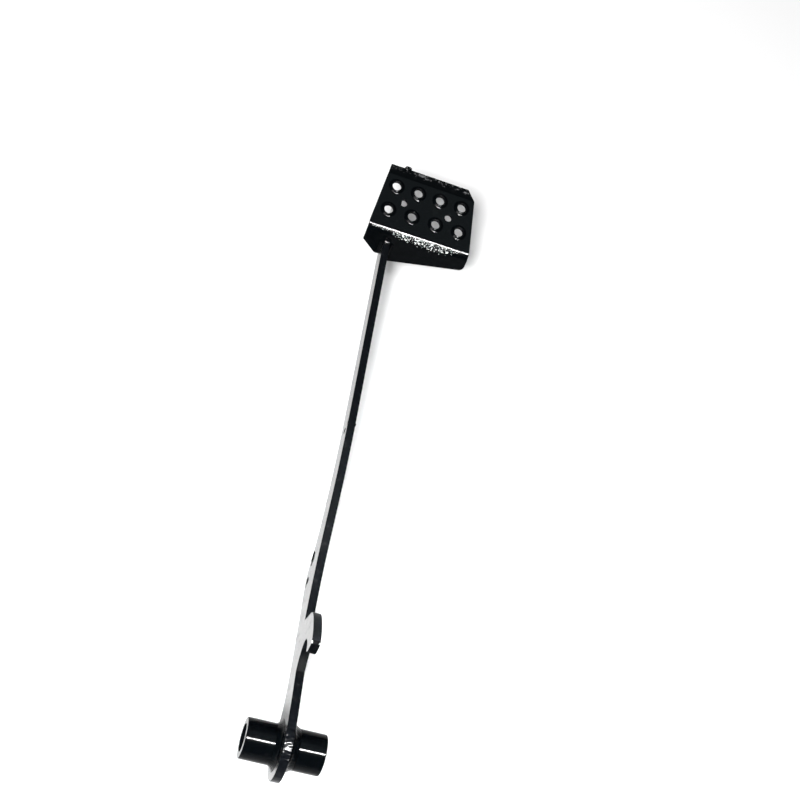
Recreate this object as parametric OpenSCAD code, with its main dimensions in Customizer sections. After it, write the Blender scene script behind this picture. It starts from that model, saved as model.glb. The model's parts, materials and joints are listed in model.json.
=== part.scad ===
// Welded steel foot pedal lever. Origin: middle of the pivot tube, on its axis.
// X runs along the pivot axis, Y from the pivot towards the tread, Z up on the tread's side.

/* [Pivot tube] */
// Outer diameter of the pivot tube
tube_od = 28.6; // [26:0.1:32]
// Length of the pivot tube
tube_length = 57.2; // [50:0.1:64]
// Bore of the pivot tube, which holds the bushes
tube_bore = 19.05; // [18:0.05:21]

/* [Bushes and sleeve] */
// Length of each bush
bush_length = 20; // [12:1:25]
// How deep the bushes and the sleeve sit below the ends of the tube
bush_recess = 3.2; // [0:0.1:5]
// Outer diameter of the sleeve that the bushes turn on
sleeve_od = 15.9; // [14:0.1:16.5]
// Bore of the sleeve, for the pivot bolt
sleeve_bore = 10.5; // [8:0.1:12]
// Radial running clearance between bush and sleeve
running_clearance = 0.05; // [0.02:0.01:0.1]

/* [Arm plate] */
// Thickness of the arm plate
plate_t = 6.35; // [5:0.05:8]
// Distance from the tube's middle to the plate's left face
plate_left = 3.8; // [3:0.1:6]
// Radius of the plate's round eye
eye_r = 23.6; // [23:0.1:27]

/* [Tread plate] */
// Thickness of the tread's sheet
sheet_t = 2.5; // [2:0.1:3.5]
// Tilt of the tread's panel from the Y axis
tread_tilt = 15; // [10:1:25]
// Middle of the tread, to the right of the tube's middle
tread_x = 25.2; // [22:0.1:30]
// Half width of the panel at its lower bend
half_width_low = 46.9; // [44:0.1:50]
// Half width of the panel at its top crease
half_width_high = 41.3; // [39:0.1:44]
// Angle of the lower bend
bend_angle = 55; // [45:1:62]
// Outer radius of the lower bend
bend_r = 10; // [8:0.5:12]
// Angle of the top lip, bent back
lip_angle = 16; // [8:1:25]

/* [Grip holes] */
// Diameter of a grip hole
grip_d = 7.9; // [6:0.1:9]
// Height of the raised collar round a grip hole
collar_h = 1.3; // [1:0.1:2]
// Diameter of the raised collar at its foot
collar_d = 14.4; // [13:0.1:16]
// Diameter of the two plain holes
plain_d = 6.5; // [5:0.1:7]

/* [Welds] */
// Leg of the weld on the tube's right side
right_leg = 7; // [5:0.5:7.5]
// Leg of the weld on the tube's left side
left_leg = 4; // [3:0.5:6]
// Leg of the small welds under the tread
tread_leg = 3.5; // [2:0.5:4]

/* [Hidden] */
$fn = 96;
paint = "#1c1d20";

plate_right = plate_t - plate_left; // right face of the plate
eye_centre = [-1, 1.5];             // the eye lies a little off the pivot axis, as [Y, Z]
edge_break = 0.5;                   // chamfer on the tube and on the bushes
weld_gap = 0.05;                    // gap between parts before they are welded
weld_toe = 0.4;                     // thickness of a weld at its edges
through = 200;                      // longer than anything that a cutter goes through

// Reference point on the underside of the tread's panel, as [Y, Z]; the panel rises from it.
tread_foot = [439, 31.5];
bend_v = 11;       // start of the lower bend, along the panel
crease_v = 59.5;   // top crease, along the panel
lip_length = 10.4; // length of the flat lip above the crease
crease_r = 6;      // outer radius of the top crease
lip_cut = 6.5;     // how far the lip's right corner is cut in
flange_right_s = 25.8; // flange's depth beside the arm on its right
flange_left_s = 19.8;  // and on its left
flange_end_s = 11.2;   // and at its right end
arm_end_v = 40;        // how far the arm runs under the panel
arm_s = 5.8;           // how far down the flange the arm's top edge comes through
corner_r = 5;          // flange's rounded right corner

grip_rows = [[25.4, 22.1], [49.2, 20.6]]; // place along the panel, and pitch across it
plain_v = 35.8;      // the plain holes' place along the panel
plain_pitch = 42.3;  // and across it
collar_foot_r = 1;   // radius at a collar's foot
collar_rim_r = 0.8;  // and at its rim

// Points on an arc about c, from angle a0 to a1.
function arc(c, r, a0, a1, n = 12) = [for (i = [0:n]) let (a = a0 + (a1 - a0) * i / n)
    c + r * [cos(a), sin(a)]];

// A smooth curve through the points p, which starts at p[1] and ends at p[len(p) - 2].
function blend(a, b, c, d, u) = 0.5 * (2 * b + (c - a) * u + (2 * a - 5 * b + 4 * c - d) * u * u
    + (3 * b - a - 3 * c + d) * u * u * u);
function curve(p, n = 5) = concat(
    [for (i = [1:len(p) - 3], j = [0:n - 1]) blend(p[i - 1], p[i], p[i + 1], p[i + 2], j / n)],
    [p[len(p) - 2]]);

function reversed(p) = [for (i = [len(p) - 1:-1:0]) p[i]];
function turned(p, a) = [p[0] * cos(a) - p[1] * sin(a), p[0] * sin(a) + p[1] * cos(a)];

// Side view of the arm, as [Y, Z]: the long plate, and the spring hook on its upper edge.
function panel_point(v) = tread_foot + turned([v, -weld_gap], tread_tilt); // on the panel's underside
arm_top = curve([[-20, 25], [6, 23.8], [28, 20], [52, 14.5], [80, 10.3], [110, 9.8], [140, 12], [170, 17],
    [200, 22], [230, 24.7], [260, 25.4], [330, 24.4], [400, 23.8], [428, 24.2], [442, 25.2], [446.5, 29],
    panel_point(bend_v + 1), panel_point(bend_v + 8)]);
arm_low = curve([[-20, -9], [12, -9], [28, -7.5], [52, -8.5], [80, -12.5], [110, -17.8], [134, -21.5],
    [152, -12], [172, -4.5], [200, 1], [230, 4.6], [260, 6], [330, 6], [400, 6],
    [430, 6.5], [448, 8.5], [462, 14.5], [471, 23.5], [476.5, 34], [478, 44]]);
hook = curve([[90, -8], [89.5, 4], [88.5, 18], [88, 31], [84, 38.5], [77, 44.5], [69, 49.5], [62.4, 52.2],
    [59, 52.3], [57.4, 50.9], [55.6, 46.8], [54.8, 43.2], [56, 39], [63, 36.5], [68, 30], [65.5, 23],
    [58, 17.8], [46, 13], [46, 4], [46, -8]]);

module along_x(from, to) translate([from, 0, 0]) rotate([90, 0, 90]) linear_extrude(to - from) children();

// A turned part on the pivot axis; its outline is [X, radius].
module turned_part(outline) rotate([0, 90, 0]) rotate_extrude() polygon([for (p = outline) [p[1], p[0]]]);

// A tube on the pivot axis from x0 to x1, with chamfered outer edges.
module ring(x0, x1, outer_r, inner_r, chamfer) turned_part([[x0, inner_r], [x1, inner_r],
    [x1, outer_r - chamfer], [x1 - chamfer, outer_r], [x0 + chamfer, outer_r], [x0, outer_r - chamfer]]);

module arm_plate() color(paint) difference() {
    union() {
        translate([-plate_left, eye_centre[0], eye_centre[1]]) rotate([0, 90, 0])
            cylinder(h = plate_t, r = eye_r);
        along_x(-plate_left, plate_right) polygon(concat(arm_top, [panel_point(arm_end_v)], reversed(arm_low)));
        along_x(-plate_left, plate_right) polygon(hook);
    }
    rotate([0, 90, 0]) cylinder(h = through, r = tube_od / 2 + weld_gap, center = true);
}

module pivot_tube() color(paint)
    ring(-tube_length / 2, tube_length / 2, tube_od / 2, tube_bore / 2, edge_break);

bush_bore_r = sleeve_od / 2 + running_clearance;
module bushing(side) color("#3b3a37") {
    outer = side * (tube_length / 2 - bush_recess);
    inner = outer - side * bush_length;
    ring(min(outer, inner), max(outer, inner), tube_bore / 2, bush_bore_r, edge_break);
}
module left_bushing() bushing(-1);
module right_bushing() bushing(1);

sleeve_end = tube_length / 2 - bush_recess;
module pivot_sleeve() color("#9b9d9f")
    ring(-sleeve_end, sleeve_end, sleeve_od / 2, sleeve_bore / 2, edge_break);

// Concave fillet weld round the tube, on the plate's face at x; side is where it lies.
module tube_weld(x, side, leg) color(paint) turned_part(
    [for (p = concat([[0, 0], [leg, 0]], arc([leg, leg], leg - weld_toe, 270, 180), [[0, leg]]))
    [x + side * p[0], tube_od / 2 + p[1]]]);
module left_tube_weld() tube_weld(-plate_left, -1, left_leg);
module right_tube_weld() tube_weld(plate_right, 1, right_leg);

// The panel's own frame, on its underside: X across, Y up along the panel, Z towards the foot.
module on_panel() translate([0, tread_foot[0], tread_foot[1]]) rotate([tread_tilt, 0, 0]) children();

// The flange's own frame: origin at the outer end of the bend, Y down the flange, Z out of its outer face.
bend_centre = [bend_v, sheet_t - bend_r];
flange_start = bend_centre + turned([0, bend_r], bend_angle);
function flange_point(s) = tread_foot + turned(flange_start - turned([s, 0], bend_angle), tread_tilt);
module down_flange() translate([0, flange_start[0], flange_start[1]])
    rotate([bend_angle, 0, 0]) mirror([0, 1, 0]) children();
module on_flange() on_panel() down_flange() children();

// One face of the bent sheet in side view, depth below its outer face.
bend_mid = 90 + bend_angle / 2;
crease_centre = [crease_v, sheet_t - crease_r];
function panel_face(depth) = concat(
    [crease_centre + turned([lip_length, crease_r - depth], -lip_angle)],
    arc(crease_centre, crease_r - depth, 90 - lip_angle, 90, 6),
    arc(bend_centre, bend_r - depth, 90, bend_mid, 8));
function flange_face(depth) = concat(arc(bend_centre, bend_r - depth, bend_mid, 90 + bend_angle, 8),
    [bend_centre + turned([-35, bend_r - depth], bend_angle)]);
module sheet(face_out, face_in) along_x(-50, 110) polygon(concat(face_out, reversed(face_in)));

taper = (half_width_low - half_width_high) / (crease_v - bend_v);
function half_width(v) = half_width_low - taper * (v - bend_v);
lip_v = crease_v + lip_length;

module panel() intersection() {
    sheet(panel_face(0), panel_face(sheet_t));
    // Blank of the panel: a trapezoid with its top right corner cut off
    translate([tread_x, 0, -through / 2]) linear_extrude(through) polygon([[-half_width(-10), -10],
        [half_width(-10), -10], [half_width(crease_v), crease_v], [half_width(crease_v) - lip_cut, lip_v],
        [half_width(crease_v) - lip_cut - 1.5, lip_v + 5], [-half_width(lip_v + 5), lip_v + 5]]);
}

flange_left_x = tread_x - half_width_low;
flange_right_x = tread_x + half_width_low + 0.6;
module flange() intersection() {
    sheet(flange_face(0), flange_face(sheet_t));
    down_flange() translate([0, 0, -through / 2]) linear_extrude(through) polygon(concat(
        [[flange_left_x, -20]], arc([flange_left_x + 2, 10.5], 2, 180, 126, 4), arc([-7, 16.5], 4, 126, 90, 4),
        [[0, flange_left_s], [0, flange_right_s]],
        arc([flange_right_x - corner_r, flange_end_s - corner_r], corner_r, 78, 0, 8),
        [[flange_right_x, -20]]));
}

function grip_places() = [for (row = grip_rows, i = [0:3]) [tread_x + row[1] * (i - 1.5), row[0]]];
function plain_places() = [for (side = [-1, 1]) [tread_x + side * plain_pitch / 2, plain_v]];

// Raised collar: a pressed cone with a rounded rim and a soft foot.
module collar() rotate_extrude() polygon(concat([[0, -0.5], [collar_d / 2, -0.5], [collar_d / 2, 0]],
    arc([collar_d / 2, collar_foot_r], collar_foot_r, 270, 225, 4),
    arc([grip_d / 2 + 0.9, collar_h - collar_rim_r], collar_rim_r, 40, 90, 6),
    [[0, collar_h]]));

module tread_plate() color(paint) difference() {
    on_panel() difference() {
        union() {
            panel();
            flange();
            for (p = grip_places()) translate([p[0], p[1], sheet_t]) collar();
        }
        for (p = grip_places()) translate([p[0], p[1], 0]) cylinder(h = through, d = grip_d, center = true);
        for (p = plain_places()) translate([p[0], p[1], 0]) cylinder(h = through, d = plain_d, center = true);
    }
    // Notch in the flange, which the arm passes through
    notch = [plate_t + 2 * weld_gap, 30, 40];
    translate([-plate_left - weld_gap, tread_foot[0] - notch[1] + 8, flange_point(arm_s)[1] - notch[2] + 0.4])
        cube(notch);
}

// Fillet weld bead with a square corner, from y0 to y1 in the frame that it is drawn in.
module bead(y0, y1, leg_x, leg_z) translate([0, y1, 0]) rotate([90, 0, 0]) linear_extrude(y1 - y0)
    polygon([[0, 0], [leg_x, 0], [leg_x * 0.36, leg_z * 0.36], [0, leg_z]]);

// The welds under the panel are short, and leave the holes beside the arm clear.
module tread_left_weld() color(paint) on_panel() translate([-plate_left, 0, 0]) {
    bead(bend_v + 1, 20, -tread_leg, -tread_leg);
    bead(31, arm_end_v - 1, -tread_leg, -tread_leg);
}
module tread_right_weld() color(paint) on_panel() translate([plate_right, 0, 0])
    bead(bend_v + 1, 30, tread_leg, -tread_leg);
module tread_end_weld() color(paint) on_panel() translate([0, arm_end_v, 0]) rotate([0, 0, -90])
    bead(-plate_left, plate_right, -tread_leg, -tread_leg);

module flange_left_weld() color(paint) on_flange() translate([-plate_left, 0, 0])
    bead(arm_s, flange_left_s - 1, -tread_leg, tread_leg);
module flange_right_weld() color(paint) on_flange() translate([plate_right, 0, 0])
    bead(arm_s, flange_right_s - 7, tread_leg, tread_leg);
// Weld in the corner between the flange's outer face and the arm's top edge
module flange_top_weld() color(paint) along_x(-plate_left, plate_right) polygon([flange_point(arm_s),
    flange_point(arm_s) - [tread_leg, 0.3], flange_point(arm_s - tread_leg * 0.4) - [tread_leg * 0.4, 0],
    flange_point(arm_s - tread_leg)]);

arm_plate();
pivot_tube();
tread_plate();
left_bushing();
right_bushing();
pivot_sleeve();
left_tube_weld();
right_tube_weld();
tread_left_weld();
tread_right_weld();
tread_end_weld();
flange_left_weld();
flange_right_weld();
flange_top_weld();
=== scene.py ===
"""Foot pedal lever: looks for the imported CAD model, on a pale floor under soft studio light."""
import json
import math
import bpy
import bmesh
import numpy as np
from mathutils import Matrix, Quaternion, Vector, noise
from mathutils.geometry import delaunay_2d_cdt


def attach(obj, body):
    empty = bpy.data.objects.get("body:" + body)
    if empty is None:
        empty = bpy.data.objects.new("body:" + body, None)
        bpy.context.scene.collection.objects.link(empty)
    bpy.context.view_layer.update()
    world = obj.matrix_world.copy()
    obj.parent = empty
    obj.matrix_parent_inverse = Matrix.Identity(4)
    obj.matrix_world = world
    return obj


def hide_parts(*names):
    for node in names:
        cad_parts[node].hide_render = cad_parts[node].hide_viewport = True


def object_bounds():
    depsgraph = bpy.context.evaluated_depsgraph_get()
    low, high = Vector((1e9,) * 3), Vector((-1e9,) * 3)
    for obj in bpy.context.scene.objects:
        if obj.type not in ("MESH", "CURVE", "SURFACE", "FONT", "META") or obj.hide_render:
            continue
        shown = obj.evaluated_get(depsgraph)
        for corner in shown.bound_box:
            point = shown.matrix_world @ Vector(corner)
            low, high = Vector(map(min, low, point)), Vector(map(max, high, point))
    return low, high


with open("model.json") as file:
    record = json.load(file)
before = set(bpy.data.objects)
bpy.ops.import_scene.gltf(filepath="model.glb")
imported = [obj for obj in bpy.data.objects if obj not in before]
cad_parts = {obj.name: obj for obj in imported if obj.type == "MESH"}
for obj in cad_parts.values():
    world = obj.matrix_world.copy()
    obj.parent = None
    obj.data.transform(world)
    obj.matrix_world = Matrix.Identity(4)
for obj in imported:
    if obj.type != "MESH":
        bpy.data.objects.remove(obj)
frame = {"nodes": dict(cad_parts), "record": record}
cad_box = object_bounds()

MM = 0.001
nodes = frame["nodes"]


# ---------------------------------------------------------------- shader helpers
class Shader:
    """A material with a Principled shader, and short calls that add nodes to it."""

    def __init__(self, name):
        self.material = bpy.data.materials.new(name)
        self.material.use_nodes = True
        self.tree = self.material.node_tree
        self.surface = self.tree.nodes["Principled BSDF"]
        self.place = self.add("ShaderNodeTexCoord").outputs["Object"]

    def add(self, kind, inputs=None, **settings):
        node = self.tree.nodes.new(kind)
        for key, value in settings.items():
            setattr(node, key, value)
        for key, value in (inputs or {}).items():
            self.feed(node.inputs[key], value)
        return node

    def feed(self, socket, value):
        if isinstance(value, bpy.types.NodeSocket):
            self.tree.links.new(value, socket)
        else:
            socket.default_value = value

    def set(self, **values):
        for key, value in values.items():
            self.feed(self.surface.inputs[key.replace("_", " ")], value)

    def math(self, operation, a, b=0.0):
        return self.add("ShaderNodeMath", {0: a, 1: b}, operation=operation).outputs[0]

    def noise(self, size, detail=3.0, rough=0.5, place=None, distortion=0.0):
        """Noise whose features are about size metres across."""
        values = {"Vector": place or self.place, "Scale": 1.0 / size, "Detail": detail,
                  "Roughness": rough, "Distortion": distortion}
        return self.add("ShaderNodeTexNoise", values).outputs["Fac"]

    def step(self, value, low, high, to_low=0.0, to_high=1.0):
        """A smooth ramp: to_low below low, to_high above high."""
        values = {"Value": value, "From Min": low, "From Max": high, "To Min": to_low, "To Max": to_high}
        return self.add("ShaderNodeMapRange", values, interpolation_type="SMOOTHSTEP").outputs[0]

    def mix(self, factor, a, b):
        node = self.add("ShaderNodeMix", data_type="RGBA")
        self.feed(node.inputs[0], factor)
        self.feed(node.inputs[6], a)
        self.feed(node.inputs[7], b)
        return node.outputs[2]

    def bump(self, *layers):
        """Stacks (height, distance in metres, strength) bumps and feeds the shader's normal."""
        normal = None
        for height, distance, strength in layers:
            values = {"Height": height, "Distance": distance, "Strength": strength}
            if normal:
                values["Normal"] = normal
            normal = self.add("ShaderNodeBump", values).outputs[0]
        self.feed(self.surface.inputs["Normal"], normal)


BLACK = (0.0007, 0.0011, 0.0015, 1)
EDGE_BLACK = (0.0025, 0.003, 0.004, 1)
# lighter grey for the hook's top: a painted sheen for how it faces the light
HOOK_SHEEN_GREY = (0.008, 0.009, 0.0105, 1)
DUST = (0.03, 0.03, 0.031, 1)
# white of the bare specks, which also stand in as painted glints
BARE_GLINT_WHITE = (0.75, 0.78, 0.77, 1)
BARE_STAINED = (0.16, 0.22, 0.21, 1)
PRIMER = (0.11, 0.112, 0.115, 1)
CHALK = (0.3, 0.3, 0.29, 1)
PEEL_SIZE, RUN_SIZE, GRAIN_SIZE, DIRT_SIZE = 2.2 * MM, 14 * MM, 0.5 * MM, 6 * MM


def worn_layers(s, color, gloss):
    """Bare specks, which also stand in as painted glints, where the band's attribute is high, and primer and
    chalky flakes where flake is high.
    """
    worn_glint_band = s.add("ShaderNodeAttribute", attribute_name="wear_and_glint").outputs["Fac"]
    flake = s.add("ShaderNodeAttribute", attribute_name="flake").outputs["Fac"]
    reach = s.math("ADD", s.noise(1.4 * MM, 2.0, 0.6), s.math("MULTIPLY", worn_glint_band, 0.26))
    # bare specks in the worn band, which also stand in as painted glints
    bare_glint_speck = s.math("MULTIPLY", s.step(reach, 0.822, 0.84), s.step(worn_glint_band, 0.02, 0.1))
    tint = s.mix(s.step(s.noise(3 * MM), 0.5, 0.62), BARE_GLINT_WHITE, BARE_STAINED)
    color = s.mix(bare_glint_speck, color, tint)
    scale = s.step(s.noise(3.2 * MM, 4.0, 0.7), 0.5, 0.55)
    color = s.mix(s.math("MULTIPLY", scale, flake), color, PRIMER)
    powder = s.step(s.noise(1.6 * MM, 3.0, 0.7), 0.64, 0.67)
    color = s.mix(s.math("MULTIPLY", powder, flake), color, CHALK)
    duller = s.math("ADD", s.math("MULTIPLY", flake, 0.25), s.math("MULTIPLY", worn_glint_band, 0.12))
    return color, s.math("ADD", gloss, duller)


def black_paint(name, level, rough, dust=0.08, wear_and_glint=False, tone=BLACK):
    """Glossy black paint with orange peel, a few runs, and dust; level is its reflection head on."""
    s = Shader(name)
    peel, run, grain = s.noise(PEEL_SIZE, 2.0), s.noise(RUN_SIZE, 2.0), s.noise(GRAIN_SIZE, 3.0)
    dirt = s.math("MULTIPLY", s.step(s.noise(DIRT_SIZE, 6.0, 0.65), 0.55, 0.75), dust)
    color = s.mix(dirt, tone, DUST)
    gloss = s.math("ADD", s.math("MULTIPLY", dirt, 0.5), s.step(grain, 0.3, 0.7, rough - 0.03, rough + 0.04))
    if wear_and_glint:
        color, gloss = worn_layers(s, color, gloss)
    s.set(Base_Color=color, Roughness=gloss, IOR=1.5, Specular_IOR_Level=level)
    s.bump((run, 0.2 * MM, 0.4), (peel, 0.06 * MM, 0.35), (grain, 0.01 * MM, 0.3))
    return s.material


def plain(name, color, metallic, roughness):
    """One colour with darker mottling and a fine grain."""
    s = Shader(name)
    mottle = s.noise(3 * MM, 5.0, 0.6)
    shade = tuple(c * 0.55 for c in color[:3]) + (1,)
    s.set(Base_Color=s.mix(s.step(mottle, 0.4, 0.65), color, shade), Metallic=metallic,
          Roughness=s.step(s.noise(1.5 * MM), 0.3, 0.7, roughness - 0.08, roughness + 0.08))
    s.bump((s.noise(0.6 * MM), 0.03 * MM, 0.3))
    return s.material


paint = black_paint("black_paint", 0.02, 0.09)
flat_paint = black_paint("black_paint_flat", 0.6, 0.25, dust=0.3)
edge_paint = black_paint("black_paint_edge", 0.025, 0.15, dust=0.3, wear_and_glint=True, tone=EDGE_BLACK)
# the hook's top gets a lighter grey tone, a painted sheen, over its dust
hook_paint = black_paint("black_paint_hook", 0.03, 0.4, dust=0.5, wear_and_glint=True, tone=HOOK_SHEEN_GREY)
dull_paint = black_paint("black_paint_dull", 0.01, 0.6, dust=0.1, wear_and_glint=True)
# the tread's paint, whose worn band has bare specks that also stand in as painted glints
worn_glint_paint = black_paint("black_paint_worn_glint", 0.022, 0.11, wear_and_glint=True)
steel = plain("bare_steel", (0.10, 0.10, 0.105, 1), 1.0, 0.42)
plastic = plain("bush_plastic", (0.012, 0.0115, 0.011, 1), 0.0, 0.5)
finish = {"black_paint": paint, "bare_steel": steel, "bush_plastic": plastic}
subparts = {part["node"]: part for part in frame["record"]["subparts"]}
body_of = {n: b for b, names in frame["record"]["behaviour"]["bodies"].items() for n in names}


# ---------------------------------------------------------------- mesh helpers, all in millimetres
def piece(name, node, verts, faces, materials=None, slots=None, fields=None):
    """Makes a mesh that stands for one CAD node and moves with that node's body."""
    mesh = bpy.data.meshes.new(name)
    mesh.from_pydata([tuple(float(c) * MM for c in p) for p in verts], [], faces)
    for field, values in (fields or {}).items():
        mesh.attributes.new(field, "FLOAT", "POINT").data.foreach_set("value", values)
    for material in materials or [finish[subparts[node]["material_slot"]]]:
        mesh.materials.append(material)
    for i, face in enumerate(mesh.polygons):
        face.use_smooth = True
        face.material_index = slots[i] if slots else 0
    bm = bmesh.new()
    bm.from_mesh(mesh)
    bmesh.ops.recalc_face_normals(bm, faces=bm.faces)
    bm.to_mesh(mesh)
    bm.free()
    obj = bpy.data.objects.new(name, mesh)
    bpy.context.scene.collection.objects.link(obj)
    even = obj.modifiers.new("even", "WEIGHTED_NORMAL")
    even.weight = 60
    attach(obj, body_of[node])
    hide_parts(node)
    return obj


def lathe(name, node, outline, steps=160, wobble=0.0):
    """Turns a closed outline of (x, radius) round the pivot axis."""
    n = len(outline)
    verts = []
    for k in range(steps):
        a = 2 * math.pi * k / steps
        for x, r in outline:
            r += wobble * noise.noise(Vector((x / 9, 3 * math.cos(a), 3 * math.sin(a))))
            verts.append((x, r * math.cos(a), r * math.sin(a)))
    faces = [(k * n + i, k * n + (i + 1) % n, (k + 1) % steps * n + (i + 1) % n, (k + 1) % steps * n + i)
             for k in range(steps) for i in range(n)]
    return piece(name, node, verts, faces)


def rounded(corners, radii, steps=5):
    """A closed outline with its corners rounded, as quadratic blends."""
    out = []
    count = len(corners)
    for i, radius in enumerate(radii):
        before, corner, after = (Vector(corners[(i + d) % count]) for d in (-1, 0, 1))
        start = corner + (before - corner).normalized() * radius
        end = corner + (after - corner).normalized() * radius
        for k in range(steps + 1):
            t = k / steps
            out.append(tuple(start * (1 - t) ** 2 + corner * 2 * t * (1 - t) + end * t ** 2))
    return out


def ring(name, node, x0, x1, outer, inner, edge, wobble=0.0):
    """A tube from x0 to x1 with rounded ends, on the pivot axis."""
    return lathe(name, node, rounded([(x0, inner), (x1, inner), (x1, outer), (x0, outer)],
                                     [edge * 0.6, edge * 0.6, edge, edge]), wobble=wobble)


def fillet(root, leg_a, leg_b, sag, closed=False, pitch=1.7, ripple=0.16, across=10):
    """A weld bead along root points, as vertices and faces.

    leg_a and leg_b reach from the root to the bead's two edges, and sag is how hollow its face is.
    """
    verts, faces = [], []
    run, count, width = 0.0, len(root), across + 2
    for i, corner in enumerate(root):
        if i:
            run += (corner - root[i - 1]).length
        ends = 1.0 if closed else min(1.0, 0.45 + 0.55 * math.sin(math.pi * i / (count - 1)) * 3)
        a, b = leg_a[i] * ends, leg_b[i] * ends
        out = (a + b).normalized()
        uneven = 1 + 0.06 * noise.noise(corner / 4)
        verts.append(corner)
        for j in range(across + 1):
            t = j / across
            arch = math.sin(math.pi * t)
            wave = abs(math.sin(math.pi * (run / pitch + 0.45 * arch + 0.15 * noise.noise(corner / 2))))
            point = corner + (a * (1 - t) + b * t) * uneven
            verts.append(point + out * (ripple * (wave - 0.6) * arch - sag * arch))
    for i in range(count if closed else count - 1):
        k = (i + 1) % count
        for j in range(width):
            m = (j + 1) % width
            faces.append((i * width + j, i * width + m, k * width + m, k * width + j))
    if not closed:
        faces += [tuple(range(width)), tuple((count - 1) * width + j for j in range(width))]
    return verts, faces


def inside(points, loop):
    """Which of the points lie inside a closed loop."""
    x, y = points[:, 0], points[:, 1]
    hit = np.zeros(len(points), bool)
    for (x0, y0), (x1, y1) in zip(loop, np.roll(loop, -1, axis=0)):
        if y0 != y1:
            hit ^= ((y0 > y) != (y1 > y)) & (x < (x1 - x0) * (y - y0) / (y1 - y0) + x0)
    return hit


def outward(loop):
    """Mitred offsets that point out of the material, for an anticlockwise edge or a clockwise hole."""
    step = np.roll(loop, -1, axis=0) - loop
    step /= np.linalg.norm(step, axis=1)[:, None]
    after = np.stack([step[:, 1], -step[:, 0]], axis=1)
    before = np.roll(after, 1, axis=0)
    return (after + before) / np.maximum(1 + (after * before).sum(axis=1), 0.35)[:, None]


def divided(loop, spacing):
    """The loop with its sides cut into equal steps no longer than spacing."""
    out = []
    for a, b in zip(loop, np.roll(loop, -1, axis=0)):
        steps = max(1, math.ceil(float(np.linalg.norm(b - a)) / spacing))
        out += [a + (b - a) * k / steps for k in range(steps)]
    return np.array(out)


def area(loop):
    """Area inside a closed loop, positive if it runs anticlockwise."""
    x, y = loop[:, 0], loop[:, 1]
    return 0.5 * float((x * np.roll(y, -1) - y * np.roll(x, -1)).sum())


def slab(loops, rims, inner, top, under, walls=3):
    """A plate with rounded edges, as (point in its plane, height, is it on the edge) and faces.

    loops is the outer edge and then the holes, rims how far each edge is rounded, inner the points that
    its two faces also have, and top and under the heights of the faces at a point.
    """
    loops = [loop if (area(loop) > 0) == (k == 0) else loop[::-1] for k, loop in enumerate(loops)]
    offsets = [outward(loop) for loop in loops]
    base = [loop - offset * rim for loop, offset, rim in zip(loops, offsets, rims)]
    keep = inside(inner, base[0])
    for loop in base[1:]:
        keep &= ~inside(inner, loop)
    flat = np.concatenate(base + [inner[keep]])
    edges, start = [], 0
    for loop in base:
        edges += [(start + k, start + (k + 1) % len(loop)) for k in range(len(loop))]
        start += len(loop)
    points, _, cells, origin, _, _ = delaunay_2d_cdt([Vector(p) for p in flat], edges, [], 0, 1e-5)
    index = {}
    for k, sources in enumerate(origin):
        for source in sources:
            index[source] = k
    flat = np.array([tuple(p) for p in points])
    cells = np.array([tuple(c) for c in cells if len(c) == 3])
    middle = flat[cells].mean(axis=1)
    keep = inside(middle, base[0])
    for loop in base[1:]:
        keep &= ~inside(middle, loop)
    cells = cells[keep]
    n = len(flat)
    verts = [(p[0], p[1], top(p), 0.0) for p in flat] + [(p[0], p[1], under(p), 0.0) for p in flat]
    faces = [tuple(int(i) for i in c) for c in cells] + [tuple(int(i) + n for i in c[::-1]) for c in cells]
    flats = len(faces)
    start = 0
    for loop, offset, rim in zip(base, offsets, rims):
        rings = [[index[start + k] for k in range(len(loop))]]
        tops = [top(p) for p in loop]
        unders = [under(p) for p in loop]
        stations = [(math.sin(a), 1 - math.cos(a), 0) for a in np.radians([22.5, 45, 67.5, 90])]
        stations += [(1.0, 1.0, k / walls) for k in range(1, walls)]
        stations += [(math.sin(a), 1 - math.cos(a), 1) for a in np.radians([90, 67.5, 45, 22.5])]
        for reach, drop, down in stations:
            ring_now = []
            for k, p in enumerate(loop):
                place = p + offset[k] * rim * reach
                high, deep = tops[k] - rim * drop, unders[k] + rim * drop
                ring_now.append(len(verts))
                verts.append((place[0], place[1], high + (deep - high) * down, 1.0))
            rings.append(ring_now)
        rings.append([index[start + k] + n for k in range(len(loop))])
        for a, b in zip(rings, rings[1:]):
            faces += [(a[k], a[(k + 1) % len(a)], b[(k + 1) % len(a)], b[k]) for k in range(len(a))]
        start += len(loop)
    used = sorted({i for f in faces for i in f})
    fresh = {old: new for new, old in enumerate(used)}
    return [verts[i] for i in used], [tuple(fresh[i] for i in f) for f in faces], flats


# ---------------------------------------------------------------- tube, bushes, sleeve and their welds
TUBE_R, TUBE_HALF, TUBE_BORE_R, TUBE_EDGE = 14.3, 28.6, 9.525, 0.7
RECESS, BUSH_LENGTH, SLEEVE_R, SLEEVE_BORE_R, CLEARANCE = 3.2, 20.0, 7.95, 5.25, 0.05
SMALL_EDGE = 0.5                           # rounding of the bushes' and the sleeve's ends
LEFT, RIGHT = -3.8, 2.55                   # x of the arm plate's two faces
ring("tube_painted", "pivot_tube", -TUBE_HALF, TUBE_HALF, TUBE_R, TUBE_BORE_R, TUBE_EDGE, wobble=0.05)
sunk = TUBE_HALF - RECESS
bush_bore = SLEEVE_R + CLEARANCE
ring("sleeve_turned", "pivot_sleeve", -sunk, sunk, SLEEVE_R, SLEEVE_BORE_R, SMALL_EDGE)
ring("left_bush_moulded", "left_bushing", -sunk, BUSH_LENGTH - sunk, TUBE_BORE_R, bush_bore, SMALL_EDGE)
ring("right_bush_moulded", "right_bushing", sunk - BUSH_LENGTH, sunk, TUBE_BORE_R, bush_bore, SMALL_EDGE)


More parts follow.
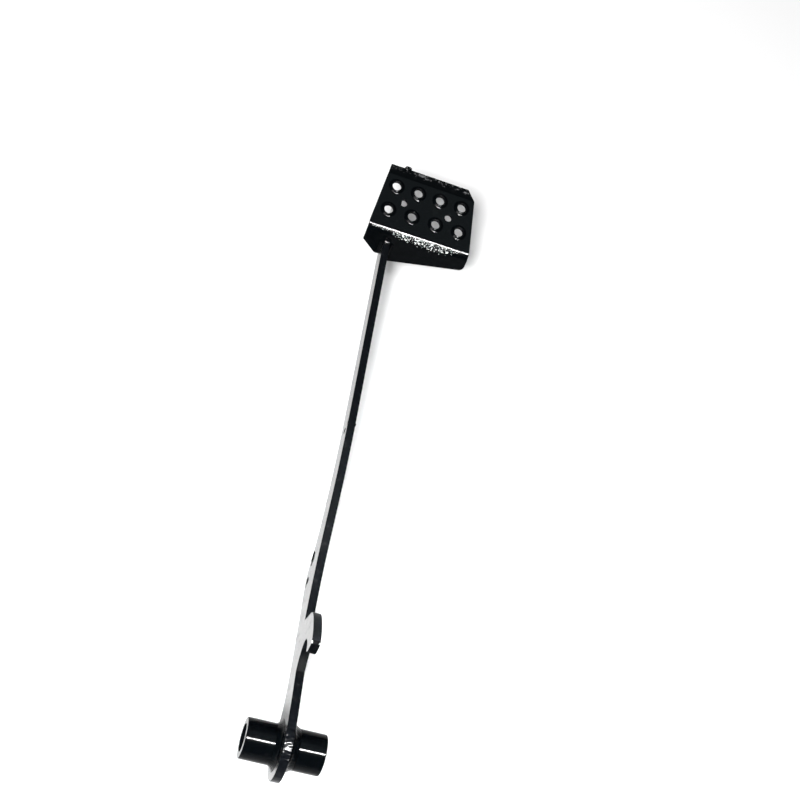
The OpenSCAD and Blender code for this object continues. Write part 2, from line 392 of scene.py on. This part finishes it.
def tube_weld(name, node, face, side, leg, sag, steps=240, overlap=0.02):
    """A bead round the tube, against one face of the arm."""
    turn = [2 * math.pi * k / steps for k in range(steps)]
    radial = [Vector((0, math.cos(a), math.sin(a))) for a in turn]
    root = [Vector((face, 0, 0)) + r * (TUBE_R - overlap) for r in radial]
    verts, faces = fillet(root, [r * leg for r in radial], [Vector((side * leg, 0, 0))] * len(root), sag,
                          closed=True, pitch=2.2, across=14)
    piece(name, node, verts, faces)


tube_weld("left_tube_bead", "left_tube_weld", LEFT, -1, 4.0, 0.75)
tube_weld("right_tube_bead", "right_tube_weld", RIGHT, 1, 7.0, 1.4)


# ---------------------------------------------------------------- tread plate, bent from one sheet
SHEET, TILT, FOOT_Y, FOOT_Z = 2.5, math.radians(15), 439.0, 31.5
BEND_V, BEND_R, BEND = 11.0, 10.0, math.radians(55)
CREASE_V, CREASE_R, LIP, LIP_LENGTH = 59.5, 6.0, math.radians(16), 10.4
TREAD_X, HALF_LOW, HALF_HIGH = 25.2, 46.9, 41.3
BEND_END = BEND_V - BEND_R * BEND          # where the bend ends and the flange starts
LIP_START = CREASE_V + CREASE_R * LIP
SHEET_TOP = LIP_START + LIP_LENGTH
FLANGE_LEFT, FLANGE_RIGHT = TREAD_X - HALF_LOW, TREAD_X + HALF_LOW + 0.6
LIP_CUT = 6.9                              # how far the lip's right corner is cut off
ARM_S = 5.8                                # how far down the flange the arm comes through
SLOT_GAP = 0.05                            # between the arm and the notch in the flange


def on_sheet(x, u, lift):
    """Place of a point x across and u up the flattened sheet, lift above its outer face."""
    v, w, turn = u, SHEET, 0.0
    if u > CREASE_V:
        turn = min((u - CREASE_V) / CREASE_R, LIP)
        rest = max(u - LIP_START, 0.0)
        v = CREASE_V + CREASE_R * math.sin(turn) + rest * math.cos(turn)
        w = SHEET - CREASE_R + CREASE_R * math.cos(turn) - rest * math.sin(turn)
    elif u < BEND_V:
        turn = -min((BEND_V - u) / BEND_R, BEND)
        rest = max(BEND_END - u, 0.0)
        v = BEND_V + BEND_R * math.sin(turn) - rest * math.cos(turn)
        w = SHEET - BEND_R + BEND_R * math.cos(turn) + rest * math.sin(turn)
    v += lift * math.sin(turn)
    w += lift * math.cos(turn)
    return Vector((x, FOOT_Y + v * math.cos(TILT) - w * math.sin(TILT),
                   FOOT_Z + v * math.sin(TILT) + w * math.cos(TILT)))


def half_width(v):
    """Half of the sheet's width at v up the sheet, since it narrows above the bend."""
    return HALF_LOW - (HALF_LOW - HALF_HIGH) / (CREASE_V - BEND_V) * (max(v, BEND_V) - BEND_V)


def arc(cx, cy, r, a0, a1, steps=6):
    """Points on an arc from a0 to a1 degrees."""
    return [(cx + r * math.cos(a), cy + r * math.sin(a)) for a in np.radians(np.linspace(a0, a1, steps))]


# Flange in (x, depth s below the bend): its left end, the notch for the arm, and its right end
notch_left, notch_right, notch_top = LEFT - SLOT_GAP, RIGHT + SLOT_GAP, ARM_S - 0.4
flange_edge = [(FLANGE_LEFT, 10.5)] + arc(-7, 16.5, 4, 126, 90)
flange_edge += [(notch_left, 20.1), (notch_left, notch_top), (notch_right, notch_top), (notch_right, 25.3)]
flange_edge += arc(FLANGE_RIGHT - 5, 6.2, 5, 78, 0) + [(FLANGE_RIGHT, 0)]
sheet_edge = [(x, BEND_END - s) for x, s in flange_edge]
sheet_edge += [(TREAD_X + HALF_LOW, BEND_V), (TREAD_X + HALF_HIGH, CREASE_V)]
sheet_edge += [(TREAD_X + HALF_HIGH - LIP_CUT, SHEET_TOP)]
sheet_edge += [(TREAD_X - half_width(SHEET_TOP), SHEET_TOP), (TREAD_X - half_width(CREASE_V), CREASE_V),
               (FLANGE_LEFT, BEND_V), (FLANGE_LEFT, BEND_END)]
sheet_edge = divided(np.array(sheet_edge), 0.6)
for p in sheet_edge:
    if p[1] > SHEET_TOP - 0.01:                # the lip's edge is chipped, more so to the right
        p[1] -= max(0.0, noise.noise(Vector((p[0] / 2.1, 7, 0))) - 0.1) * (0.9 if p[0] > 12 else 0.35)

GRIP_R, COLLAR_R, COLLAR_H, GRIP_RIM, COLLAR_KNEE, GRIP_STEPS = 3.95, 7.6, 1.3, 0.7, 0.7, 56
COLLAR_RINGS = (4.95, 5.3, 5.65, 6.0, 6.35, 6.7, 7.05, 7.4, 7.9)        # radii of the points on a collar
GRIP_ROWS = ((25.4, 22.1), (49.2, 20.6))                                # height and pitch of each row
PLAIN_R, PLAIN_V, PLAIN_PITCH, PLAIN_RIM, PLAIN_STEPS = 3.25, 35.8, 42.3, 0.3, 36
SHEET_RIM = 0.35
grips = [(TREAD_X + pitch * (i - 1.5), v) for v, pitch in GRIP_ROWS for i in range(4)]
plains = [(TREAD_X + side * PLAIN_PITCH / 2, PLAIN_V) for side in (-1, 1)]


def circle(cx, cy, r, steps):
    """Points all round a circle."""
    return np.array([(cx + r * math.cos(2 * math.pi * k / steps), cy + r * math.sin(2 * math.pi * k / steps))
                     for k in range(steps)])


def smooth(low, high, value):
    """A smooth ramp from 0 at low to 1 at high."""
    t = min(max((value - low) / (high - low), 0.0), 1.0)
    return t * t * (3 - 2 * t)


def collar(x, u):
    """How far the pressed collars stand up at a place on the panel, from 0 to 1."""
    near = min(math.hypot(x - gx, u - gu) for gx, gu in grips)
    t = min(max((COLLAR_R - near) / (COLLAR_R - GRIP_R - GRIP_RIM), 0.0), 1.0)
    return t * t / COLLAR_KNEE if t < COLLAR_KNEE else 1 - (1 - t) ** 2 / (1 - COLLAR_KNEE)


def wear_and_glint_at(x, u):
    """Worn paint in a band along the bend, whose white specks also stand in as painted glints: heavy from the
    middle to the right, thin on the left.
    """
    ragged = 1.3 * noise.noise(Vector((x / 3.5, 2.0, 0))) + 0.8 * noise.noise(Vector((x / 1.2, 5.0, 0)))
    middle = smooth(-6, 14, x) * smooth(FLANGE_RIGHT - 8, FLANGE_RIGHT - 24, x)
    low = 5.0 - 9.5 * middle + ragged
    band = smooth(7.6, 6.8, u) * smooth(low, low + 1.2 + 7 * middle, u)
    return band * smooth(FLANGE_LEFT + 1, FLANGE_LEFT + 4, x) * smooth(FLANGE_RIGHT - 2, FLANGE_RIGHT - 12, x)


def flake_at(x, u):
    """Flaked paint along the lip's edge, from the middle to the right."""
    depth = 5.5 + 3 * noise.noise(Vector((x / 5, 11.0, 0)))
    edge = smooth(SHEET_TOP - depth - 1, SHEET_TOP - depth + 1, u)
    patch = smooth(-0.15, 0.1, noise.noise(Vector((x / 4.2, u / 2.6, 4))))
    return edge * (0.2 + 0.8 * smooth(2, 14, x)) * patch


def sheet_top(p):
    """Height of the outer face: collars, pits in the worn band and steps in the flaked paint."""
    x, u = p
    lift = COLLAR_H * collar(x, u)
    worn_glint_band = wear_and_glint_at(x, u)
    if worn_glint_band:
        fine, coarse = Vector((x / 0.9, u / 0.9, 1)), Vector((x / 2, u / 2, 9))
        lift += worn_glint_band * (0.24 * noise.noise(fine) + 0.14 * noise.noise(coarse))
    flaked = flake_at(x, u)
    if flaked:
        lift += flaked * 0.1 * (1 if noise.noise(Vector((x / 1.3, u / 0.9, 2))) > 0 else -0.4)
    return lift


def sheet_under(p):
    """Height of the inner face, which is hollow under each collar."""
    return -SHEET + 0.6 * collar(*p)


def grid(x0, x1, y0, y1, step):
    """Staggered rows of points."""
    xs, ys = np.meshgrid(np.arange(x0, x1, step), np.arange(y0, y1, step))
    shift = (np.arange(xs.shape[0]) % 2)[:, None] * step / 2
    return np.stack([(xs + shift).ravel(), ys.ravel()], axis=1)


# Stretches up the sheet, as start, end and spacing: finest on the worn bend and the flaked lip
STRETCHES = ((-26, -5.5, 1.5), (-5.4, 9.6, 0.42), (9.9, 11.6, 0.8), (12.4, CREASE_V, 1.6),
             (CREASE_V, 63, 0.9), (63.2, SHEET_TOP, 0.5))
inner = np.concatenate([grid(FLANGE_LEFT, FLANGE_RIGHT, *stretch) for stretch in STRETCHES])
for holes, clear in ((grips, COLLAR_R + 1.3), (plains, PLAIN_R + 1.4)):
    for gx, gu in holes:
        inner = inner[np.hypot(inner[:, 0] - gx, inner[:, 1] - gu) > clear]
collar_points = [circle(gx, gu, r, GRIP_STEPS) for gx, gu in grips for r in COLLAR_RINGS]
plain_points = [circle(gx, gu, PLAIN_R + 0.9, PLAIN_STEPS) for gx, gu in plains]
inner = np.concatenate([inner] + collar_points + plain_points)
grip_edges = [circle(gx, gu, GRIP_R, GRIP_STEPS) for gx, gu in grips]
plain_edges = [circle(gx, gu, PLAIN_R, PLAIN_STEPS) for gx, gu in plains]
rims = [SHEET_RIM] + [GRIP_RIM] * len(grips) + [PLAIN_RIM] * len(plains)
flat, faces, flats = slab([sheet_edge] + grip_edges + plain_edges, rims, inner, sheet_top, sheet_under)
verts = [on_sheet(x, u, lift) for x, u, lift, edge in flat]
wear_and_glint = [wear_and_glint_at(x, u) if lift > -0.6 else 0.0 for x, u, lift, edge in flat]
flake = [flake_at(x, u) if lift > -1.2 else 0.0 for x, u, lift, edge in flat]

# A lump of old paint hangs on the lip's edge; bare specks on its upper left side also stand in as a painted
# glint.
LUMP_SIZE = Vector((3.4, 2.5, 2.8))
bm = bmesh.new()
bmesh.ops.create_icosphere(bm, subdivisions=4, radius=1)
lump_at, start = on_sheet(1.5, SHEET_TOP + 0.1, -0.7), len(verts)
for v in bm.verts:
    v.co *= 1 + 0.35 * noise.noise(v.co * 1.6) + 0.12 * noise.noise(v.co * 5)
    verts.append(lump_at + v.co * LUMP_SIZE)
    # bare specks on the lump's upper left side, also a painted glint where the light falls
    wear_and_glint.append(0.9 * smooth(0.5, 1.0, v.co.z - 0.6 * v.co.x))
    flake.append(0.0)
faces += [tuple(start + v.index for v in f.verts) for f in bm.faces]
bm.free()
piece("tread_sheet", "tread_plate", verts, faces, [worn_glint_paint], fields={"wear_and_glint": wear_and_glint, "flake": flake})


# ---------------------------------------------------------------- short welds under and beside the tread
def straight_weld(name, node, runs, a, b, sag=0.5):
    """One weld node made of straight runs, each a start and an end."""
    verts, faces = [], []
    for start, end in runs:
        steps = max(8, int((end - start).length / 0.35))
        root = [start.lerp(end, k / steps) for k in range(steps + 1)]
        more, cells = fillet(root, [a] * len(root), [b] * len(root), sag)
        faces += [tuple(i + len(verts) for i in cell) for cell in cells]
        verts += more
    piece(name, node, verts, faces)


LEG = 3.5
ARM_END_V = 40                             # how far up the panel the arm reaches
LEFT_RUNS, RIGHT_RUN = ((12, 20), (31, 39)), (12, 30)
WELD_S = 18.8                              # how far down the flange its side welds reach
up_panel = on_sheet(0, 30, 0) - on_sheet(0, 29, 0)
out_panel = on_sheet(0, 30, 1) - on_sheet(0, 30, 0)
up_flange = on_sheet(0, -9, 0) - on_sheet(0, -10, 0)
out_flange = on_sheet(0, -9, 1) - on_sheet(0, -9, 0)
side_x = Vector((1, 0, 0))


def under_panel(x, v0, v1):
    """A run under the panel, from v0 to v1 up the sheet."""
    return on_sheet(x, v0, -SHEET), on_sheet(x, v1, -SHEET)


def beside_arm(x):
    """A run down the flange's outer face, beside the arm."""
    return on_sheet(x, BEND_END - ARM_S, 0), on_sheet(x, BEND_END - WELD_S, 0)


straight_weld("tread_left_bead", "tread_left_weld", [under_panel(LEFT, *run) for run in LEFT_RUNS],
              -side_x * LEG, -out_panel * LEG)
straight_weld("tread_right_bead", "tread_right_weld", [under_panel(RIGHT, *RIGHT_RUN)],
              side_x * LEG, -out_panel * LEG)
arm_end = [(on_sheet(LEFT, ARM_END_V, -SHEET), on_sheet(RIGHT, ARM_END_V, -SHEET))]
straight_weld("tread_end_bead", "tread_end_weld", arm_end, up_panel * LEG, -out_panel * LEG)
straight_weld("flange_left_bead", "flange_left_weld", [beside_arm(LEFT)], -side_x * LEG, out_flange * LEG)
straight_weld("flange_right_bead", "flange_right_weld", [beside_arm(RIGHT)], side_x * LEG, out_flange * LEG)
above_arm = [(beside_arm(LEFT)[0], beside_arm(RIGHT)[0])]
straight_weld("flange_top_bead", "flange_top_weld", above_arm, Vector((0, -LEG, -0.3)), up_flange * LEG)


# ---------------------------------------------------------------- arm plate, with its cut edges
def face_loops(node, x):
    """Closed edge loops, as (y, z), of the flat face of a CAD node that looks along -X at x."""
    data = nodes[node].data
    corners = [(round(v.co.y / MM, 3), round(v.co.z / MM, 3)) for v in data.vertices]
    once = {}
    for face in data.polygons:
        if face.normal.x < -0.99 and abs(face.center.x / MM - x) < 0.01:
            around = [corners[i] for i in face.vertices]
            for a, b in zip(around, around[1:] + around[:1]):
                if (b, a) in once:
                    del once[(b, a)]
                else:
                    once[(a, b)] = True
    after = {a: b for a, b in once}
    found = []
    while after:
        start = next(iter(after))
        loop, at = [start], after.pop(start)
        while at != start and at in after:
            loop.append(at)
            at = after.pop(at)
        found.append(np.array(loop))
    return sorted(found, key=lambda loop: -abs(area(loop)))


def softened(loop, sharp=22, passes=6):
    """The loop with its shallow corners smoothed and its sharp ones kept."""
    step = np.roll(loop, -1, axis=0) - loop
    heading = np.degrees(np.arctan2(step[:, 1], step[:, 0]))
    turn = np.abs((heading - np.roll(heading, 1) + 180) % 360 - 180)
    free = (turn < sharp)[:, None]
    for _ in range(passes):
        loop = np.where(free, (np.roll(loop, 1, axis=0) + np.roll(loop, -1, axis=0) + 2 * loop) / 4, loop)
    return loop


EDGE_STEP, EDGE_RIM, FACE_STEP = 0.8, 0.45, 3.2
MIDDLE, PLATE_HALF = (RIGHT + LEFT) / 2, (RIGHT - LEFT) / 2
CHIPS = ((145, -9, 6.0), (127, -13, 4.4), (246, 18, 2.8), (250, 25, 1.5))   # y, z, radius; left face
CHIP_DEPTH, CHIP_SPACING = 0.5, (0, 0.5, 1.1)
CHIP_RAGGED = (1, 0.8, 1.1, 0.7, 1, 1.15, 0.75, 0.9)                       # reach of a chip all round
RIDGE_Y, RIDGE_Z = 59.3, 52.2                                              # the ridge at the hook's tip
FLAT, EDGE, DULL, HOOK = range(4)                                          # the arm's material slots
arm_edges = [softened(divided(loop, EDGE_STEP)) for loop in face_loops("arm_plate", LEFT)]


def arm_point(y, z, lift, edge):
    """lift 0 is the right face; the cut edge has fine marks across it and small chips."""
    point = Vector((RIGHT + lift, y, z))
    if edge:
        fine, coarse = Vector((y / 0.9, z / 0.9, 0)), Vector((y / 5, z / 5, lift / 6))
        nick = max(0.0, noise.noise(Vector((y / 2.6, z / 2.6, lift / 1.6))) - 0.42) * 0.7
        point.x += (MIDDLE - point.x) / PLATE_HALF * nick * 0.5
        point.z += 0.05 * noise.noise(fine) + 0.06 * noise.noise(coarse)
        if z > 18 and abs(y) < 16:              # drips of weld and paint beside the tube
            point.z += 0.8 * noise.noise(Vector((y / 1.5, lift / 1.5, 3)))
    for cy, cz, radius in CHIPS:
        if math.hypot(y - cy, z - cz) < 0.7 * radius and lift:
            point.x += CHIP_DEPTH
    return point


def in_chip(point):
    """Is this point of the left face in one of its chips?"""
    return point.x < RIGHT - 1 and any(math.hypot(point.y - y, point.z - z) < 1.2 * r for y, z, r in CHIPS)


def bare_and_glint_at(point):
    """Bare spots at the two corners of the hook's ridge, which also stand in as painted highlights."""
    near = min((point - Vector((x, RIDGE_Y, RIDGE_Z))).length for x in (LEFT, RIGHT - 0.9))
    return 1.7 * smooth(1.9, 0.7, near)


def edge_finish(point):
    """Dull in the hook's slot and on its end, a painted sheen of lighter grey on the hook's back, glossy
    elsewhere.
    """
    if 46 < point.y < 64 and point.z < 28 or point.y < 61 and point.z > 28:
        return DULL
    return HOOK if point.z > 30 and point.y < 92 else EDGE


def chip_points():
    """Points of the left face that a chip's outline and floor need."""
    angles = np.radians(range(0, 360, 45))
    points = [(y + r * k * u * math.cos(a), z + r * k * u * math.sin(a)) for y, z, r in CHIPS
              for k in CHIP_SPACING for a, u in zip(angles, CHIP_RAGGED)]
    return np.unique(np.round(points, 6), axis=0)


ys, zs = arm_edges[0].T
inner = np.concatenate([grid(ys.min(), ys.max(), zs.min(), zs.max(), FACE_STEP), chip_points()])
rims = [EDGE_RIM] * len(arm_edges)
flat, faces, flats = slab(arm_edges, rims, inner, lambda p: 0.0, lambda p: LEFT - RIGHT)
verts = [arm_point(*p) for p in flat]
slots = [DULL if all(in_chip(verts[i]) for i in f) else FLAT for f in faces[:flats]]
slots += [edge_finish(verts[f[0]]) for f in faces[flats:]]
arm_paints = [flat_paint, edge_paint, dull_paint, hook_paint]
piece("arm_cut_plate", "arm_plate", verts, faces, arm_paints, slots=slots,
      # the ridge corners' bare spots also stand in as painted highlights
      fields={"wear_and_glint": [bare_and_glint_at(v) for v in verts]})


# ---------------------------------------------------------------- stage, light and camera
FLOOR_Z = cad_box[0][2]
FLOOR_HALF = 4.0
FLOOR_WHITE = (0.9, 0.9, 0.9, 1)
SKY = (0.8, 0.95, 1.0)
AMBIENT = 0.26

mesh = bpy.data.meshes.new("floor")
floor_corners = [(x * FLOOR_HALF, y * FLOOR_HALF, FLOOR_Z) for x, y in ((-1, -1), (1, -1), (1, 1), (-1, 1))]
mesh.from_pydata(floor_corners, [], [(0, 1, 2, 3)])
floor = bpy.data.objects.new("floor", mesh)
bpy.context.scene.collection.objects.link(floor)
s = Shader("floor_white")
s.set(Base_Color=FLOOR_WHITE, Roughness=0.7, Specular_IOR_Level=0.1)
mesh.materials.append(s.material)


def area_light(name, place, aim, size, radiance, color=(1, 1, 1), diffuse=True, spread=180):
    """A rectangular lamp that faces aim; its power follows from its size and its radiance."""
    data = bpy.data.lights.new(name, "AREA")
    data.shape = "RECTANGLE"
    data.size, data.size_y = size
    data.energy = radiance * math.pi * size[0] * size[1]
    data.color = color
    data.spread = math.radians(spread)
    lamp = bpy.data.objects.new(name, data)
    lamp.location = place
    lamp.rotation_euler = (Vector(aim) - Vector(place)).to_track_quat("-Z", "Y").to_euler()
    lamp.visible_diffuse = diffuse
    bpy.context.scene.collection.objects.link(lamp)


# The strip gives the white lines on the tube and the bend, and the key the floor's light and shadow. The
# panel mirrors the overhead lamp, the arm's top the back one, and the fill lifts the tube's shadow.
area_light("strip", (0.26, -0.21, 1.5), (0.03, 0.2, 0), (0.6, 0.045), 6500, diffuse=False)
area_light("key", (-1.09, -2.0, 2.62), (0.05, 0.35, 0), (0.96, 0.96), 84)
area_light("overhead", (0.3, 0.75, 1.8), (0.05, 0.4, 0), (0.8, 0.8), 3.8, color=SKY, diffuse=False)
area_light("back", (0.3, 2.2, 1.7), (0.05, 0.3, 0), (1.5, 1.1), 0.6, color=SKY, diffuse=False)
area_light("fill", (-0.3, -0.15, 1.4), (0.0, 0.0, 0), (0.4, 0.4), 2.5, spread=30)

world = bpy.data.worlds.new("studio")
world.use_nodes = True
background = world.node_tree.nodes["Background"]
background.inputs["Color"].default_value = (1.0, 1.0, 1.0, 1)
background.inputs["Strength"].default_value = AMBIENT
bpy.context.scene.world = world
bpy.context.scene.view_settings.view_transform = "Standard"

EYE = Vector((-0.1386, -0.1931, 0.7672))
AIM = Vector((0.0408, 0.3006, 0.0))
ROLL = math.radians(33.45)
LENS, SENSOR = 49.62, 36.0
camera_data = bpy.data.cameras.new("camera")
camera_data.lens, camera_data.sensor_width = LENS, SENSOR
camera_data.clip_start = 0.01
camera = bpy.data.objects.new("camera", camera_data)
camera.rotation_mode = "QUATERNION"
camera.rotation_quaternion = (AIM - EYE).to_track_quat("-Z", "Y") @ Quaternion((0, 0, 1), ROLL)
camera.location = EYE
bpy.context.scene.collection.objects.link(camera)
bpy.context.scene.camera = camera
